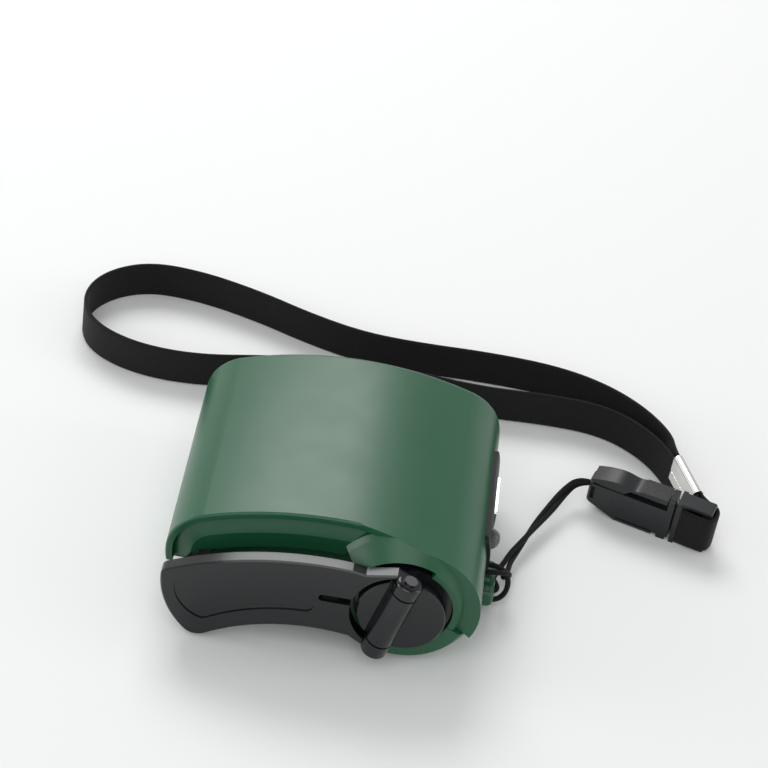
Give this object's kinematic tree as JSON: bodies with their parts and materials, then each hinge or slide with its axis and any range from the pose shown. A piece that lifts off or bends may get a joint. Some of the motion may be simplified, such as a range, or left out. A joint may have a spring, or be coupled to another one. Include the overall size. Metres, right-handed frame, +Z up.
{
  "type": "hand crank phone charger",
  "caption": "Pocket hand crank generator with a folding crank, a USB socket, a small lamp and a wrist strap with a quick-release buckle.",
  "frame": {"origin": "middle of the housing and crank footprint, on the resting plane", "axes": "+Z up, +X towards the socket end, -Y towards the crank side"},
  "size_m": [0.1659, 0.1264, 0.0345],
  "materials": {
    "green_plastic": "gloss",
    "black_plastic": "satin",
    "steel": "satin",
    "plated_steel": "gloss",
    "white_plastic": "satin",
    "brass": "satin",
    "magnet": "satin",
    "copper": "satin",
    "lamp_clear": "clear",
    "board_green": "satin",
    "chip_black": "matte",
    "capacitor_skin": "satin",
    "wire_skin": "satin",
    "webbing": "woven",
    "cord_fabric": "braided"
  },
  "bodies": {
    "housing": {"upper_shell": "green_plastic", "lower_shell": "green_plastic", "end_panel": "black_plastic", "usb_shell": "plated_steel", "usb_tongue": "white_plastic", "usb_contacts": "brass", "led_lens": "lamp_clear", "led_leads": "steel", "crank_bush": "brass", "front_plate": "white_plastic", "rear_plate": "white_plastic", "gear_pins": "steel", "spacers": "brass", "gearbox_screws": "steel", "generator_can": "steel", "generator_cap": "black_plastic", "stator_core": "steel", "stator_coils": "copper", "circuit_board": "board_green", "board_screws": "steel", "capacitor": "capacitor_skin", "rectifier_diodes": "chip_black", "regulator": "chip_black", "inductor": "copper", "generator_wires": "wire_skin", "housing_screws": "steel", "cord_hitch": "cord_fabric", "cord_strand_1": "cord_fabric", "cord_strand_2": "cord_fabric", "buckle_socket": "black_plastic"},
    "crank": {"crank_hub": "black_plastic", "hinge_pin": "steel", "crank_shaft": "steel", "crank_gear": "white_plastic", "shaft_clip": "steel"},
    "arm": {"crank_arm": "black_plastic", "knob_screw": "steel"},
    "knob": {"knob": "black_plastic"},
    "gear_1": {"compound_gear_1": "white_plastic"},
    "gear_2": {"compound_gear_2": "white_plastic"},
    "rotor": {"rotor_pinion": "brass", "rotor_shaft": "steel", "rotor_magnet": "magnet"},
    "latch": {"buckle_latch": "black_plastic", "latch_pin": "steel"},
    "insert": {"buckle_insert": "black_plastic", "strap_end": "webbing", "crimp": "plated_steel", "wrist_strap": "webbing"}
  },
  "joints": [
    {"name": "crank_spin", "type": "hinge", "parent": "housing", "child": "crank", "pos_m": [0.0168, -0.0227, 0.01735], "axis": [0, -1, 0], "continuous": true},
    {"name": "arm_fold", "type": "hinge", "parent": "crank", "child": "arm", "pos_m": [0.01505, -0.0322, 0.0185], "axis": [0.2419, 0, 0.9703], "range_deg": [0, 180]},
    {"name": "knob_spin", "type": "hinge", "parent": "arm", "child": "knob", "pos_m": [-0.0267, -0.0227, 0.0136], "axis": [0, 1, 0], "continuous": true},
    {"name": "gear_1_spin", "type": "hinge", "parent": "housing", "child": "gear_1", "pos_m": [0.0013, -0.0227, 0.01735], "axis": [0, -1, 0], "continuous": true},
    {"name": "gear_2_spin", "type": "hinge", "parent": "housing", "child": "gear_2", "pos_m": [-0.0107, -0.0227, 0.01735], "axis": [0, -1, 0], "continuous": true},
    {"name": "rotor_spin", "type": "hinge", "parent": "housing", "child": "rotor", "pos_m": [-0.0212, -0.0227, 0.01735], "axis": [0, -1, 0], "continuous": true},
    {"name": "buckle_release", "type": "slide", "parent": "housing", "child": "insert", "axis": [0.9563, -0.2924, 0], "range_m": [0, 0.012]},
    {"name": "latch_tip", "type": "hinge", "parent": "housing", "child": "latch", "pos_m": [0.06387, 0.03538, 0.0097], "axis": [-0.2924, -0.9563, 0], "range_deg": [0, 5], "stiffness_Nm_per_rad": 0.02}
  ],
  "couplings": [
    {"joint": "gear_1_spin", "follows": "crank_spin", "ratio": -4.1667},
    {"joint": "gear_2_spin", "follows": "crank_spin", "ratio": 12.5},
    {"joint": "rotor_spin", "follows": "crank_spin", "ratio": -31.25}
  ]
}
